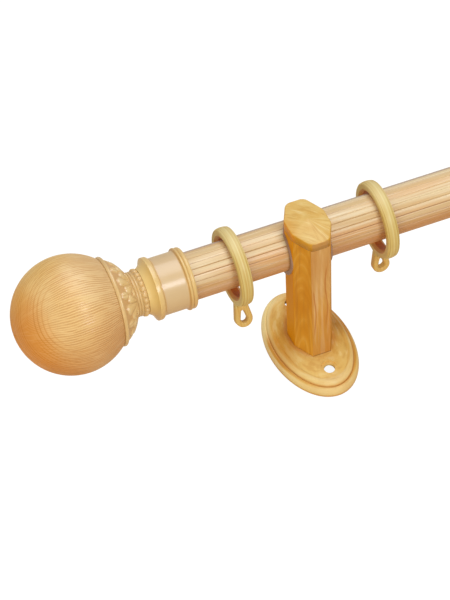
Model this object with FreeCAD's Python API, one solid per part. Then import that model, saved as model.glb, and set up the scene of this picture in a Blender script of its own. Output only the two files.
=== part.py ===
import FreeCAD, Part
import math
import os

from FreeCAD import Vector

# Curtain rod with brackets: a fluted pole in two open cradles, a turned ball finial on each
# end, and six sliding rings.  Millimetres, Z up, standing on the two wall plates.
# X runs along the pole.  The plates' backs lie in Z = 0, the wall plane, with their
# centres at Y = 0.  The origin is midway between the two plates.

# ---- pole ----
POLE_D = 28.0
POLE_WALL = 1.2
POLE_HEIGHT = 78.4            # wall to pole axis
FLUTES = 24
FLUTE_DEPTH = 0.35
FLUTE_WIDTH = 0.9
BRACKET_SPACING = 300.0       # between the two post axes
OVERHANG = 69.7               # post axis to the finial's mouth
SOCKET_DEPTH = 17.1           # length of pole inside each finial collar

# ---- pole plugs and finial studs ----
PLUG_LENGTH = 16.0
PLUG_FIT = 0.05
PLUG_LEAD = 1.0               # bevel where the plug enters the pole
STUD_D = 6.0
STUD_LEAD = 0.8
STUD_LENGTH = 58.0
STUD_FIT = 0.1
STUD_IN_PLUG = 14.0           # how far the stud reaches into the plug

# ---- finial: lengths are measured outward from the collar's mouth ----
COLLAR_FIT = 0.3              # pole to collar bore, radial
COLLAR_R = 16.8
RIM_GROOVE_R = 17.2           # bottom of the line between lip bead and ridge
LIP_BEAD_R = 18.0
LIP_BEAD_HALF = 1.3
RIDGE_R = 18.3
RIDGE_HALF = 0.9
RIDGE_FOOT = 1.3              # length of the hollow from the ridge down to the band
RIDGE_FOOT_BOW = 0.15
FLANGE_AT = 19.2
FLANGE_WIDTH = 3.4
FLANGE_R = 18.4
FLANGE_ROUND = 0.45           # how far the flange's outside is rounded
COLLAR_LENGTH = 27.1
THROAT_R = 13.2               # narrow end of the collar's flare
FLARE_BOW = 0.8               # how far the flare is hollowed
NECK_BEAD_R = 13.1
NECK_BEAD_HALF = 0.8
NECK_R = 12.4                 # the neck under its beads
PEARL_ROW_R = 13.8
PEARL_HALF = 1.7
NECK_SPIGOT_R = 8.0
NECK_SPIGOT_LENGTH = 4.0
CUP_LENGTH = 18.2             # end of the collar to the plane of the cup's edge
CUP_EDGE_R = 24.2             # where the leaf cup meets its rim bead
CUP_BOW = 1.3                 # how far the bell of the cup is rounded
CUP_BEAD_WIDTH = 1.5
CUP_BEAD_FRONT = 0.9          # start of the bead ahead of the edge's plane
CUP_BEAD_BOW = 1.3
CUP_GAP = 0.1                 # cup to ball
BALL_D = 68.0

# ---- bracket post ----
POST_X = 23.8                 # along the pole
POST_Y = 36.2                 # across the pole
POST_FLAT_X = 11.2            # width of the two flats that face along Y
POST_FLAT_Y = 11.2            # width of the two flats that face along X
POST_FOOT_SCALE = 0.985       # the post narrows a little towards the wall
POST_ARRIS = 0.5
CRADLE_OFFSET = 10.5          # pole axis above the post's middle line
HEAD_ABOVE_POLE = 25.0        # pole axis to the cap's edge
CAP_HEIGHT = 5.5
CAP_OVERHANG = 0.25
CAP_RISE = 2.2
CAP_CORNER_ROUND = 2.0
CAP_BEVEL = 0.6
CAP_SPIGOT_D = 7.0
CAP_SPIGOT_LENGTH = 9.0
CAP_SPIGOT_Y = -11.6
SPIGOT_FIT = 0.1

# ---- cradle liner ----
LINER_WALL = 2.2
LINER_FIT = 0.3               # pole to liner, radial
LINER_PROUD = 0.8             # how far its ends stand out of the post
LINER_LIP = 3.4               # how far its lips pass the pole axis

# ---- wall plate ----
PLATE_Y = 84.6
PLATE_X = 49.8
PLATE_FOOT_ROUND = 0.7        # round at the wall
PLATE_ROLL_IN = 2.0           # outline to the crest of the outer roll
PLATE_ROLL_H = 5.9
PLATE_ROLL_BOW = 0.85
PLATE_GROOVE_IN = 3.0         # outline to the groove
PLATE_GROOVE_H = 5.4
PLATE_GROOVE_BOW = 0.2
PLATE_STEP_IN = 5.8           # outline to the crest of the inner roll
PLATE_STEP_H = 8.7
PLATE_STEP_BOW = 0.95
PLATE_CORE_IN = 7.0           # outline to where the crown begins
PLATE_CORE_H = 8.5
PLATE_OVERLAP = 0.1           # core into the moulding
PLATE_CROWN_H = 11.4          # where the post stands
PLATE_CROWN_MARGIN = 2.4      # crown around the post's foot
FOOT_RECESS = 1.6
FOOT_FIT = 0.1
PLATE_SKIN = 1.8              # crown's thickness over the hollow in the plate's back
PLATE_RIM = 5.0               # outline to the hollow
SEAT_SLAB_MARGIN = 1.6        # slab under the post's foot, around the foot
SEAT_SLAB_THICK = 3.0
BOSS_R = 8.2                  # round the post screw's head
SCREW_SPACING = 57.0
SCREW_HOLE_D = 6.4
SINK_D = 10.4
SINK_DEPTH = 0.3

# ---- post screw ----
POST_SCREW_D = 5.0
POST_SCREW_HEAD_D = 9.4
POST_SCREW_HEAD_H = 3.0
POST_SCREW_HEAD_ROUND = 0.8
POST_SCREW_SHANK = 41.0
POST_SCREW_POINT = 4.0
POST_SCREW_FIT = 0.1
POST_SCREW_DRIVE_D = 3.2
POST_SCREW_DRIVE_DEPTH = 1.6
HEAD_POCKET_DEPTH = 3.6
HEAD_POCKET_D = 10.4

# ---- rings ----
RING_R_IN = 17.5
RING_R_OUT = 23.3
RING_WIDTH = 7.2
RING_MOUTH_RISE = 1.8         # bevel of the bore's mouths, outward
RING_MOUTH_RUN = 1.7          # and along the pole
RING_OUTER_BEVEL = 0.5
RING_CROWN = 0.5              # how far the outer face stands above its bevels
RING_HANG_GAP = 0.3           # pole to ring at the top
EYE_LENGTH = 14.3             # below the ring's outside
EYE_R = 5.3
EYE_THICK = 4.8
EYE_HOLE_R = 2.0
EYE_HOLE_TOP_R = 0.9
EYE_HOLE_TOP_DROP = 4.6       # ring's outside to the top arc's centre
EYE_ROUND = 1.2
EYE_ROOT_INSET = 0.3          # root of the eye inside each side of the ring
OUTER_RING_AT = 41.9          # post axis to the ring outside the bracket
INNER_RING_AT = 48.1          # post axis to the first ring inside
RING_SWINGS = (24.0, 7.0, 12.0, -4.0, 9.0, 16.0)

POLE_R = POLE_D / 2
BRACKET_X = BRACKET_SPACING / 2
MOUTH_X = BRACKET_X + OVERHANG
POLE_END_X = MOUTH_X + SOCKET_DEPTH
POLE_CENTRE = Vector(0, CRADLE_OFFSET, POLE_HEIGHT)
BALL_R = BALL_D / 2
SEAT_R = BALL_R + CUP_GAP
CUP_EDGE_X = MOUTH_X + COLLAR_LENGTH + CUP_LENGTH
BALL_X = CUP_EDGE_X + math.sqrt(SEAT_R ** 2 - CUP_EDGE_R ** 2)
HEAD_Z = POLE_HEIGHT + HEAD_ABOVE_POLE
POST_TOP_Z = HEAD_Z - CAP_HEIGHT
POST_FOOT_Z = PLATE_CROWN_H - FOOT_RECESS
NOTCH_R = POLE_R + LINER_FIT + LINER_WALL
CROWN_Y = POST_FOOT_SCALE * POST_Y / 2 + PLATE_CROWN_MARGIN
CROWN_X = POST_FOOT_SCALE * POST_X / 2 + PLATE_CROWN_MARGIN
QUARTER_BOW = 1 - math.sqrt(0.5)     # bow of a quarter circle, as a share of its radius
SPARE = 2.0                   # how far a cutting body runs past what it cuts
ORIGIN = Vector(0, 0, 0)
ALONG = Vector(1, 0, 0)
ACROSS = Vector(0, 1, 0)
UP = Vector(0, 0, 1)


def outline(start, *moves):
    """Closed wire: a move is one point for a line, or (mid, end) for an arc."""
    edges = []
    here = start
    for move in moves:
        if isinstance(move, tuple):
            edges.append(Part.Arc(here, move[0], move[1]).toShape())
            here = move[1]
        else:
            edges.append(Part.makeLine(here, move))
            here = move
    if here.distanceToPoint(start) > 1e-6:
        edges.append(Part.makeLine(here, start))
    return Part.Wire(edges)


def bowed(start, end, bow, normal=ACROSS):
    """Arc move to end whose middle stands off the chord, to the left of the way there."""
    chord = end - start
    left = chord.cross(normal).normalize()
    return ((start + end) * 0.5 + left * bow, end)


def about(centre, start, end):
    """Arc move to end along the circle round a centre."""
    radius = start.distanceToPoint(centre)
    middle = ((start + end) * 0.5 - centre).normalize()
    return (centre + middle * radius, end)


def cylinder(radius, length, base, axis):
    return Part.makeCylinder(radius, length, base, axis)


def turned(wire):
    """Solid of revolution about X from a wire drawn in the XZ plane, moved onto the pole."""
    solid = Part.Face(wire).revolve(ORIGIN, ALONG, 360)
    solid.translate(POLE_CENTRE)
    return solid


def at(x, r):
    """Point of a turned profile: x along the pole, r from its axis."""
    return Vector(x, 0, r)


def bead(centre, half, base_r, top_r):
    """Arc move over a rounded bead."""
    return (at(centre, top_r), at(centre + half, base_r))


def octagon(grow, scale, z):
    """Corners of the post's long octagon at height z, grown outward by a margin."""
    slope = (POST_X - POST_FLAT_X) / (POST_Y - POST_FLAT_Y)
    face = math.atan(slope)
    bevel_x = grow * (1 - math.sin(face)) / math.cos(face)
    bevel_y = grow * (1 - math.cos(face)) / math.sin(face)
    half_x = scale * POST_X / 2 + grow
    half_y = scale * POST_Y / 2 + grow
    flat_x = scale * POST_FLAT_X / 2 + bevel_x
    flat_y = scale * POST_FLAT_Y / 2 + bevel_y
    corners = [(flat_x, half_y), (half_x, flat_y), (half_x, -flat_y), (flat_x, -half_y),
               (-flat_x, -half_y), (-half_x, -flat_y), (-half_x, flat_y), (-flat_x, half_y)]
    return [Vector(x, y, z) for x, y in corners]


def closed(points):
    return Part.makePolygon(points + points[:1])


def long_edges(shape, axis, shortest):
    """Edges whose run along an axis is at least this long."""
    found = []
    for edge in shape.Edges:
        run = edge.Vertexes[-1].Point - edge.Vertexes[0].Point
        if abs(run.dot(axis)) >= shortest:
            found.append(edge)
    return found


# ---------------------------------------------------------------- pole
def pole():
    half = math.asin(FLUTE_WIDTH / 2 / POLE_R)
    step = 2 * math.pi / FLUTES
    edges = []
    for i in range(FLUTES):
        mid = i * step
        a = polar(POLE_R, mid - half)
        b = polar(POLE_R - FLUTE_DEPTH, mid)
        c = polar(POLE_R, mid + half)
        land = polar(POLE_R, mid + step / 2)
        following = polar(POLE_R, mid + step - half)
        edges.append(Part.makeLine(a, b))
        edges.append(Part.makeLine(b, c))
        edges.append(Part.Arc(c, land, following).toShape())
    length = 2 * POLE_END_X
    tube = Part.Face(Part.Wire(edges)).extrude(ALONG * length)
    bore = cylinder(POLE_R - POLE_WALL, length, ORIGIN, ALONG)
    tube = tube.cut(bore)
    tube.translate(POLE_CENTRE - ALONG * POLE_END_X)
    return tube


def polar(radius, angle):
    return Vector(0, radius * math.cos(angle), radius * math.sin(angle))


def pole_plug():
    """Plug pressed into the pole's right-hand end, bored for the finial's stud."""
    outer = POLE_R - POLE_WALL - PLUG_FIT
    bore = STUD_D / 2 + STUD_FIT
    start = POLE_END_X - PLUG_LENGTH
    return turned(outline(at(start, bore), at(start, outer - PLUG_LEAD),
                          at(start + PLUG_LEAD, outer), at(POLE_END_X, outer),
                          at(POLE_END_X, bore)))


def finial_stud():
    start = POLE_END_X - STUD_IN_PLUG
    end = start + STUD_LENGTH
    r = STUD_D / 2
    return turned(outline(at(start, 0), at(start, r - STUD_LEAD), at(start + STUD_LEAD, r),
                          at(end - STUD_LEAD, r), at(end, r - STUD_LEAD), at(end, 0)))


# ---------------------------------------------------------------- finial
def finial_collar():
    """Sleeve over the pole's end: lip bead, ridge, plain band, flange, flare to the throat."""
    bore = POLE_R + COLLAR_FIT
    hole = STUD_D / 2 + STUD_FIT
    socket = NECK_SPIGOT_R + SPIGOT_FIT
    web = MOUTH_X + SOCKET_DEPTH
    end = MOUTH_X + COLLAR_LENGTH
    lip = MOUTH_X + LIP_BEAD_HALF
    ridge = lip + LIP_BEAD_HALF + RIDGE_HALF
    ridge_end = at(ridge + RIDGE_HALF, RIM_GROOVE_R)
    band_start = at(ridge + RIDGE_HALF + RIDGE_FOOT, COLLAR_R)
    flange_start = at(MOUTH_X + FLANGE_AT, COLLAR_R)
    flange_top = at(MOUTH_X + FLANGE_AT + FLANGE_WIDTH / 2, FLANGE_R)
    flange_end = at(MOUTH_X + FLANGE_AT + FLANGE_WIDTH, FLANGE_R)
    return turned(outline(
        at(MOUTH_X, bore), at(MOUTH_X, RIM_GROOVE_R),
        bead(lip, LIP_BEAD_HALF, RIM_GROOVE_R, LIP_BEAD_R),
        bead(ridge, RIDGE_HALF, RIM_GROOVE_R, RIDGE_R),
        bowed(ridge_end, band_start, -RIDGE_FOOT_BOW),
        flange_start, bowed(flange_start, flange_top, FLANGE_ROUND), flange_end,
        bowed(flange_end, at(end, THROAT_R), -FLARE_BOW),
        at(end, socket), at(end - NECK_SPIGOT_LENGTH, socket),
        at(end - NECK_SPIGOT_LENGTH, hole), at(web, hole), at(web, bore)))


def finial_cup():
    """Neck with its bead row and twin rings, and the leaf cup whose face seats the ball."""
    start = MOUTH_X + COLLAR_LENGTH
    foot = start - NECK_SPIGOT_LENGTH
    hole = STUD_D / 2 + STUD_FIT
    pearls = start + PEARL_HALF
    near_bead = pearls + PEARL_HALF + NECK_BEAD_HALF
    far_bead = near_bead + 2 * NECK_BEAD_HALF
    bell_start = at(far_bead + NECK_BEAD_HALF, NECK_R)
    bell_end = at(CUP_EDGE_X - CUP_BEAD_FRONT, CUP_EDGE_R)
    seat_edge = on_seat(CUP_EDGE_R + CUP_BEAD_WIDTH)
    return turned(outline(
        at(foot, hole), at(foot, NECK_SPIGOT_R), at(start, NECK_SPIGOT_R), at(start, NECK_R),
        bead(pearls, PEARL_HALF, NECK_R, PEARL_ROW_R),
        bead(near_bead, NECK_BEAD_HALF, NECK_R, NECK_BEAD_R),
        bead(far_bead, NECK_BEAD_HALF, NECK_R, NECK_BEAD_R),
        bowed(bell_start, bell_end, CUP_BOW),
        bowed(bell_end, seat_edge, CUP_BEAD_BOW),
        about(at(BALL_X, 0), seat_edge, on_seat(hole))))


def on_seat(r):
    """Point of the ball's seat at radius r, on the side towards the pole."""
    return at(BALL_X - math.sqrt(SEAT_R ** 2 - r ** 2), r)


def finial_ball():
    ball = Part.makeSphere(BALL_R, POLE_CENTRE + ALONG * BALL_X, ALONG)
    start = BALL_X - BALL_R - SPARE
    end = POLE_END_X - STUD_IN_PLUG + STUD_LENGTH + STUD_FIT
    hole = cylinder(STUD_D / 2 + STUD_FIT, end - start, POLE_CENTRE + ALONG * start, ALONG)
    return ball.cut(hole)


# ---------------------------------------------------------------- bracket
def notch(radius):
    """Open U that the pole drops into, along the whole post."""
    reach = POST_X + 2 * SPARE
    low = Vector(-reach / 2, CRADLE_OFFSET, POLE_HEIGHT)
    round_end = cylinder(radius, reach, low, ALONG)
    mouth = Part.makeBox(reach, POST_Y, 2 * radius, low - UP * radius)
    return round_end.fuse(mouth).removeSplitter()


def bracket_post():
    """Eight-sided post with the open cradle, bored for its screw and for the cap."""
    foot = closed(octagon(0, POST_FOOT_SCALE, POST_FOOT_Z))
    head = closed(octagon(0, 1, POST_TOP_Z))
    post = Part.makeLoft([foot, head], True, True)
    post = post.makeFillet(POST_ARRIS, long_edges(post, UP, POST_TOP_Z / 2))
    screw_top = HEAD_POCKET_DEPTH + POST_SCREW_SHANK + POST_SCREW_FIT
    screw_hole = cylinder(POST_SCREW_D / 2 + POST_SCREW_FIT, screw_top - POST_FOOT_Z,
                          UP * POST_FOOT_Z, UP)
    cap_hole = cylinder(CAP_SPIGOT_D / 2 + SPIGOT_FIT, CAP_SPIGOT_LENGTH + SPARE,
                        spigot_base() - UP * SPIGOT_FIT, UP)
    return post.cut([notch(NOTCH_R), screw_hole, cap_hole])


def spigot_base():
    return Vector(0, CAP_SPIGOT_Y, POST_TOP_Z - CAP_SPIGOT_LENGTH)


def post_cap():
    """Moulded end of the post: eight shallow facets on a bevelled rim, a spigot below."""
    low = octagon(CAP_OVERHANG, 1, POST_TOP_Z)
    edge = octagon(CAP_OVERHANG, 1, HEAD_Z - CAP_BEVEL)
    high = octagon(CAP_OVERHANG - CAP_BEVEL, 1, HEAD_Z)
    peak = UP * (HEAD_Z + CAP_RISE)
    rim = Part.Face(closed(low)).extrude(UP * (CAP_HEIGHT - CAP_BEVEL))
    faces = [Part.Face(closed(edge))]
    for i in range(len(high)):
        faces.append(Part.Face(closed([edge[i - 1], edge[i], high[i], high[i - 1]])))
        faces.append(Part.Face(closed([high[i - 1], high[i], peak])))
    crown = Part.Solid(Part.Shell(faces))
    if crown.Volume < 0:
        crown.reverse()
    cap = rim.fuse(crown).removeSplitter()
    cap = cap.makeFillet(CAP_CORNER_ROUND, long_edges(cap, UP, CAP_HEIGHT / 2))
    return cap.fuse(cylinder(CAP_SPIGOT_D / 2, CAP_SPIGOT_LENGTH, spigot_base(), UP))


def cradle_liner():
    """Open bush that clips round the pole; its ends follow the post's outline."""
    reach = POST_X + 2 * (LINER_PROUD + SPARE)
    low = Vector(-reach / 2, CRADLE_OFFSET, POLE_HEIGHT)
    bush = cylinder(NOTCH_R, reach, low, ALONG)
    bore = cylinder(POLE_R + LINER_FIT, reach, low, ALONG)
    above = Part.makeBox(reach, NOTCH_R, 2 * NOTCH_R, low + Vector(0, LINER_LIP, -NOTCH_R))
    ends = Part.Face(closed(octagon(LINER_PROUD, 1, 0))).extrude(UP * 2 * POLE_HEIGHT)
    return bush.cut([bore, above]).common(ends)


def ellipse(half_y, half_x, z):
    return Part.Wire([Part.Ellipse(Vector(0, half_y, z), Vector(half_x, 0, z),
                                   Vector(0, 0, z)).toShape()])


def plate_core():
    """The plate inside its moulding: an oval slab and the crown that rises to the post."""
    inset = PLATE_CORE_IN - PLATE_OVERLAP
    foot = ellipse(PLATE_Y / 2 - inset, PLATE_X / 2 - inset, 0)
    rim = ellipse(PLATE_Y / 2 - inset, PLATE_X / 2 - inset, PLATE_CORE_H)
    top = ellipse(CROWN_Y, CROWN_X, PLATE_CROWN_H)
    return [Part.makeLoft([foot, rim], True, True), Part.makeLoft([rim, top], True, True)]


def plate_moulding():
    """Outer roll, groove and inner roll, swept round the oval."""
    half = PLATE_Y / 2

    def edge(inset, z):
        return Vector(0, half - inset, z)

    foot = edge(PLATE_FOOT_ROUND, 0)
    side = edge(0, PLATE_FOOT_ROUND)
    roll = edge(PLATE_ROLL_IN, PLATE_ROLL_H)
    groove = edge(PLATE_GROOVE_IN, PLATE_GROOVE_H)
    step = edge(PLATE_STEP_IN, PLATE_STEP_H)
    profile = outline(
        foot, bowed(foot, side, QUARTER_BOW * PLATE_FOOT_ROUND, ALONG),
        bowed(side, roll, PLATE_ROLL_BOW, ALONG),
        bowed(roll, groove, PLATE_GROOVE_BOW, ALONG),
        bowed(groove, step, PLATE_STEP_BOW, ALONG),
        edge(PLATE_CORE_IN, PLATE_CORE_H), edge(PLATE_CORE_IN, 0))
    return ellipse(half, PLATE_X / 2, 0).makePipeShell([profile], True, True)


def crown_height(y):
    """Height of the crown's surface over the plate's long axis."""
    slope = (PLATE_CROWN_H - PLATE_CORE_H) / (PLATE_Y / 2 - PLATE_CORE_IN - CROWN_Y)
    return PLATE_CROWN_H - slope * (abs(y) - CROWN_Y)


def screw_hole(y):
    """Clearance hole in a shallow dish for the screw's head."""
    hole = cylinder(SCREW_HOLE_D / 2, PLATE_CROWN_H, ACROSS * y, UP)
    floor = ACROSS * y + UP * (crown_height(y) - SINK_DEPTH)
    return [hole, cylinder(SINK_D / 2, PLATE_CROWN_H, floor, UP)]


def plate_hollow():
    """Room in the plate's back, around the slab and the boss that carry the post."""
    half_y = PLATE_Y / 2 - PLATE_RIM
    half_x = PLATE_X / 2 - PLATE_RIM
    rim = ellipse(half_y, half_x, crown_height(half_y) - PLATE_SKIN)
    top = ellipse(CROWN_Y, CROWN_X, PLATE_CROWN_H - PLATE_SKIN)
    low = ellipse(half_y, half_x, -SPARE)
    room = Part.makeLoft([low, rim], True, True).fuse(Part.makeLoft([rim, top], True, True))
    slab_z = POST_FOOT_Z - SEAT_SLAB_THICK
    slab = Part.Face(closed(octagon(SEAT_SLAB_MARGIN, POST_FOOT_SCALE, slab_z)))
    boss = cylinder(BOSS_R, PLATE_CROWN_H + SPARE, UP * -SPARE, UP)
    return room.removeSplitter().cut([slab.extrude(UP * PLATE_CROWN_H), boss])


def wall_plate():
    """Oval plate, hollow behind: two rolls, a shallow crown and the post's recess."""
    plate = plate_moulding().fuse(plate_core()).removeSplitter()
    seat = Part.Face(closed(octagon(FOOT_FIT, POST_FOOT_SCALE, POST_FOOT_Z)))
    cuts = [plate_hollow(), seat.extrude(UP * (FOOT_RECESS + SPARE)),
            cylinder(POST_SCREW_D / 2 + POST_SCREW_FIT, PLATE_CROWN_H, ORIGIN, UP),
            cylinder(HEAD_POCKET_D / 2, HEAD_POCKET_DEPTH, ORIGIN, UP)]
    for y in (-SCREW_SPACING / 2, SCREW_SPACING / 2):
        cuts += screw_hole(y)
    return plate.cut(cuts)


def post_screw():
    """Screw from the plate's back up into the post."""
    back = HEAD_POCKET_DEPTH - POST_SCREW_HEAD_H
    r = POST_SCREW_D / 2
    head_r = POST_SCREW_HEAD_D / 2
    drive_r = POST_SCREW_DRIVE_D / 2
    drive = back + POST_SCREW_DRIVE_DEPTH
    end = HEAD_POCKET_DEPTH + POST_SCREW_SHANK
    crown = Vector(head_r - POST_SCREW_HEAD_ROUND, 0, back)
    side = Vector(head_r, 0, back + POST_SCREW_HEAD_ROUND)
    wire = outline(
        Vector(0, 0, drive), Vector(drive_r, 0, drive), Vector(drive_r, 0, back), crown,
        bowed(crown, side, -QUARTER_BOW * POST_SCREW_HEAD_ROUND),
        Vector(head_r, 0, HEAD_POCKET_DEPTH), Vector(r, 0, HEAD_POCKET_DEPTH),
        Vector(r, 0, end - POST_SCREW_POINT), Vector(0, 0, end))
    return Part.Face(wire).revolve(ORIGIN, UP, 360)


# ---------------------------------------------------------------- rings
def ring_eye():
    """Flat teardrop eye below the ring, its hole facing along Y."""
    lobe_z = -(RING_R_OUT + EYE_LENGTH - EYE_R)
    root_z = -(RING_R_IN + RING_R_OUT) / 2
    hole_top_z = -(RING_R_OUT + EYE_HOLE_TOP_DROP)
    tab = drop_face(RING_WIDTH / 2 - EYE_ROOT_INSET, root_z, EYE_R, lobe_z)
    hole = drop_face(EYE_HOLE_TOP_R, hole_top_z, EYE_HOLE_R, lobe_z, True)
    eye = tab.cut(hole).extrude(ACROSS * EYE_THICK)
    eye.translate(ACROSS * -EYE_THICK / 2)
    return eye.makeFillet(EYE_ROUND, face_rims(eye, root_z))


def face_rims(eye, root_z):
    """Edges round the eye's two flat faces, apart from those at its root."""
    rims = []
    for edge in eye.Edges:
        ys = [vertex.Point.y for vertex in edge.Vertexes]
        on_one_face = max(ys) - min(ys) < EYE_THICK / 2
        if on_one_face and edge.CenterOfMass.z < root_z - EYE_ROUND / 2:
            rims.append(edge)
    return rims


def drop_face(top_half, top_z, lobe_r, lobe_z, round_top=False):
    """Face in the XZ plane: a round lobe with tangent sides up to a narrower top."""
    run = top_z - lobe_z
    if round_top:
        lean = math.asin((lobe_r - top_half) / run)
    else:
        span = math.hypot(run, top_half)
        lean = math.asin(lobe_r / span) - math.asin(top_half / span)
    side = Vector(lobe_r * math.cos(lean), 0, lobe_z + lobe_r * math.sin(lean))
    bottom = Vector(0, 0, lobe_z - lobe_r)
    other = Vector(-side.x, 0, side.z)
    if round_top:
        shoulder = Vector(top_half * math.cos(lean), 0, top_z + top_half * math.sin(lean))
        crest = Vector(0, 0, top_z + top_half)
        far = Vector(-shoulder.x, 0, shoulder.z)
        return Part.Face(outline(side, (bottom, other), far, (crest, shoulder), side))
    right = Vector(top_half, 0, top_z)
    left = Vector(-top_half, 0, top_z)
    return Part.Face(outline(side, (bottom, other), left, right, side))


def curtain_ring(x, swing):
    """Ring with its moulded eye, hanging on the pole and turned about it by its swing."""
    half = RING_WIDTH / 2
    shoulder = RING_R_OUT - RING_CROWN
    crest = at(0, RING_R_OUT)
    brow = at(-half + RING_OUTER_BEVEL, shoulder)
    wire = outline(
        at(-half + RING_MOUTH_RUN, RING_R_IN), at(half - RING_MOUTH_RUN, RING_R_IN),
        at(half, RING_R_IN + RING_MOUTH_RISE), at(half, shoulder - RING_OUTER_BEVEL),
        at(half - RING_OUTER_BEVEL, shoulder), (crest, brow),
        at(-half, shoulder - RING_OUTER_BEVEL), at(-half, RING_R_IN + RING_MOUTH_RISE))
    ring = Part.Face(wire).revolve(ORIGIN, ALONG, 360)
    ring = ring.fuse(ring_eye())
    ring.rotate(ORIGIN, ALONG, -swing)
    drop = RING_R_IN - POLE_R - RING_HANG_GAP
    ring.translate(POLE_CENTRE + ALONG * x - UP * drop)
    return ring


def ring_places():
    """Six ring positions along the pole, the four inner ones evenly spread."""
    inner = BRACKET_X - INNER_RING_AT
    outer = BRACKET_X + OUTER_RING_AT
    return (-outer, -inner, -inner / 3, inner / 3, inner, outer)


# ---------------------------------------------------------------- assembly
def mirrored(shape):
    return shape.mirror(ORIGIN, ALONG)


def moved(shape, x):
    copy = shape.copy()
    copy.translate(ALONG * x)
    return copy


def save(name, shape):
    if not shape.isValid():
        raise ValueError(name + " is not a valid shape")
    shape.exportStep("parts/" + name + ".step")


def main():
    os.makedirs("parts", exist_ok=True)
    save("pole_tube", pole())
    pair = {"pole_plug": pole_plug(), "finial_stud": finial_stud(),
            "finial_collar": finial_collar(), "finial_cup": finial_cup(),
            "finial_ball": finial_ball()}
    for name, shape in pair.items():
        save(name + "_right", shape)
        save(name + "_left", mirrored(shape))
    bracket = {"wall_plate": wall_plate(), "bracket_post": bracket_post(),
               "post_cap": post_cap(), "cradle_liner": cradle_liner(),
               "post_screw": post_screw()}
    for name, shape in bracket.items():
        save(name + "_left", moved(shape, -BRACKET_X))
        save(name + "_right", moved(shape, BRACKET_X))
    for i, (x, swing) in enumerate(zip(ring_places(), RING_SWINGS)):
        save("curtain_ring_%d" % (i + 1), curtain_ring(x, swing))


main()
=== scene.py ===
import bmesh
import bpy
import math
from mathutils import Matrix, Vector


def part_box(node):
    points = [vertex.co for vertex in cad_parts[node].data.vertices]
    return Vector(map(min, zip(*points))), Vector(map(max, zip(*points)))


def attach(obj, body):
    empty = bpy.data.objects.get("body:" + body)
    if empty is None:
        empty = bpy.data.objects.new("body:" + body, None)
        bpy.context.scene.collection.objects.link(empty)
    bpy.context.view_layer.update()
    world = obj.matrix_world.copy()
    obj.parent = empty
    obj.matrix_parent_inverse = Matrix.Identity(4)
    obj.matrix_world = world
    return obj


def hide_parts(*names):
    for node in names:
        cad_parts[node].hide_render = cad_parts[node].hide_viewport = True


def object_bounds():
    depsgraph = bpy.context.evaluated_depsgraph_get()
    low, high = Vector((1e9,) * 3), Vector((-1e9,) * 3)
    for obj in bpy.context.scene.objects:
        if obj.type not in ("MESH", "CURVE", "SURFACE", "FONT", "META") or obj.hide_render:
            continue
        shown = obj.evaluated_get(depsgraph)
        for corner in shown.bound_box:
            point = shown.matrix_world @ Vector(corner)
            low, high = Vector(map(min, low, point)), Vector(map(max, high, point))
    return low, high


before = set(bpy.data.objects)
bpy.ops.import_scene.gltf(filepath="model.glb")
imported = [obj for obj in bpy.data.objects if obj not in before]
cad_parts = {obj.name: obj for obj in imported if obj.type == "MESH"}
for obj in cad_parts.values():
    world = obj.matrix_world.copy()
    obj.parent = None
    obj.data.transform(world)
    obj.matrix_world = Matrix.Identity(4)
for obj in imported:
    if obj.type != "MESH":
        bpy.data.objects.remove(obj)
CAD_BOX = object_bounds()
MM = 0.001
ROD = "rod_and_brackets"
RINGS = ["curtain_ring_%d" % i for i in range(1, 7)]
SIDES = (("left", -1), ("right", 1))


def middle_x(node):
    low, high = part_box(node)
    return (low.x + high.x) / 2


# ---------------------------------------------------------------- places, from the frame
POLE_LOW, POLE_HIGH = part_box("pole_tube")
POLE_AXIS = (POLE_LOW + POLE_HIGH) / 2
POLE_R = (POLE_HIGH.z - POLE_LOW.z) / 2
COLLAR_LOW, COLLAR_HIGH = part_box("finial_collar_right")
BAND_X = COLLAR_LOW.x + 4.4 * MM          # start of the collar's plain band
FLANGE_X = COLLAR_LOW.x + 19.2 * MM       # end of the band, at the flange
FLARE_X = FLANGE_X + 2.6 * MM             # end of the flange, at the flare
CUP_RIM_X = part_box("finial_cup_right")[1].x
BALL_LOW, BALL_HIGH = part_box("finial_ball_right")
BALL_R = (BALL_HIGH.z - BALL_LOW.z) / 2
BALL_X = BALL_HIGH.x - BALL_R
POST_X = middle_x("bracket_post_left")
POST_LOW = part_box("bracket_post_left")[0]
CAP_LOW, CAP_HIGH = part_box("post_cap_left")
PLATE_LOW, PLATE_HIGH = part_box("wall_plate_left")
PLATE_HALF = (PLATE_HIGH - PLATE_LOW) / 2
RING_LOW, RING_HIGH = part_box(RINGS[0])
RING_R_OUT = (RING_HIGH.y - RING_LOW.y) / 2
RING_Z = RING_HIGH.z - RING_R_OUT         # rings hang on the pole, so below its axis
RING_PLACES = [abs(middle_x(ring)) for ring in RINGS[:3]]

# ---------------------------------------------------------------- sizes: pole to post
FLUTES = 24
EDGE_REFLECTION_TURN = 0.135                         # turn round the pole of the painted reflection along its upper back edge
BAND_R = 17.1 * MM                        # the collar's band, which its beads stand out from
RING_R_IN = 17.5 * MM
RING_MOUTH = 1.8 * MM                     # how far the bevel of a ring's mouth rises
GROOVE_H = 5.4 * MM                       # heights off the wall of the plate's groove
STEP_H = 8.7 * MM                         # and of the roll inside it
CHAMFER_MIDDLE = (8.75 * MM, -11.85 * MM)    # of the post's front outer chamfer
ARCH_PITCH = 12.5 * MM                    # from one growth ring to the next, up the post

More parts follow.
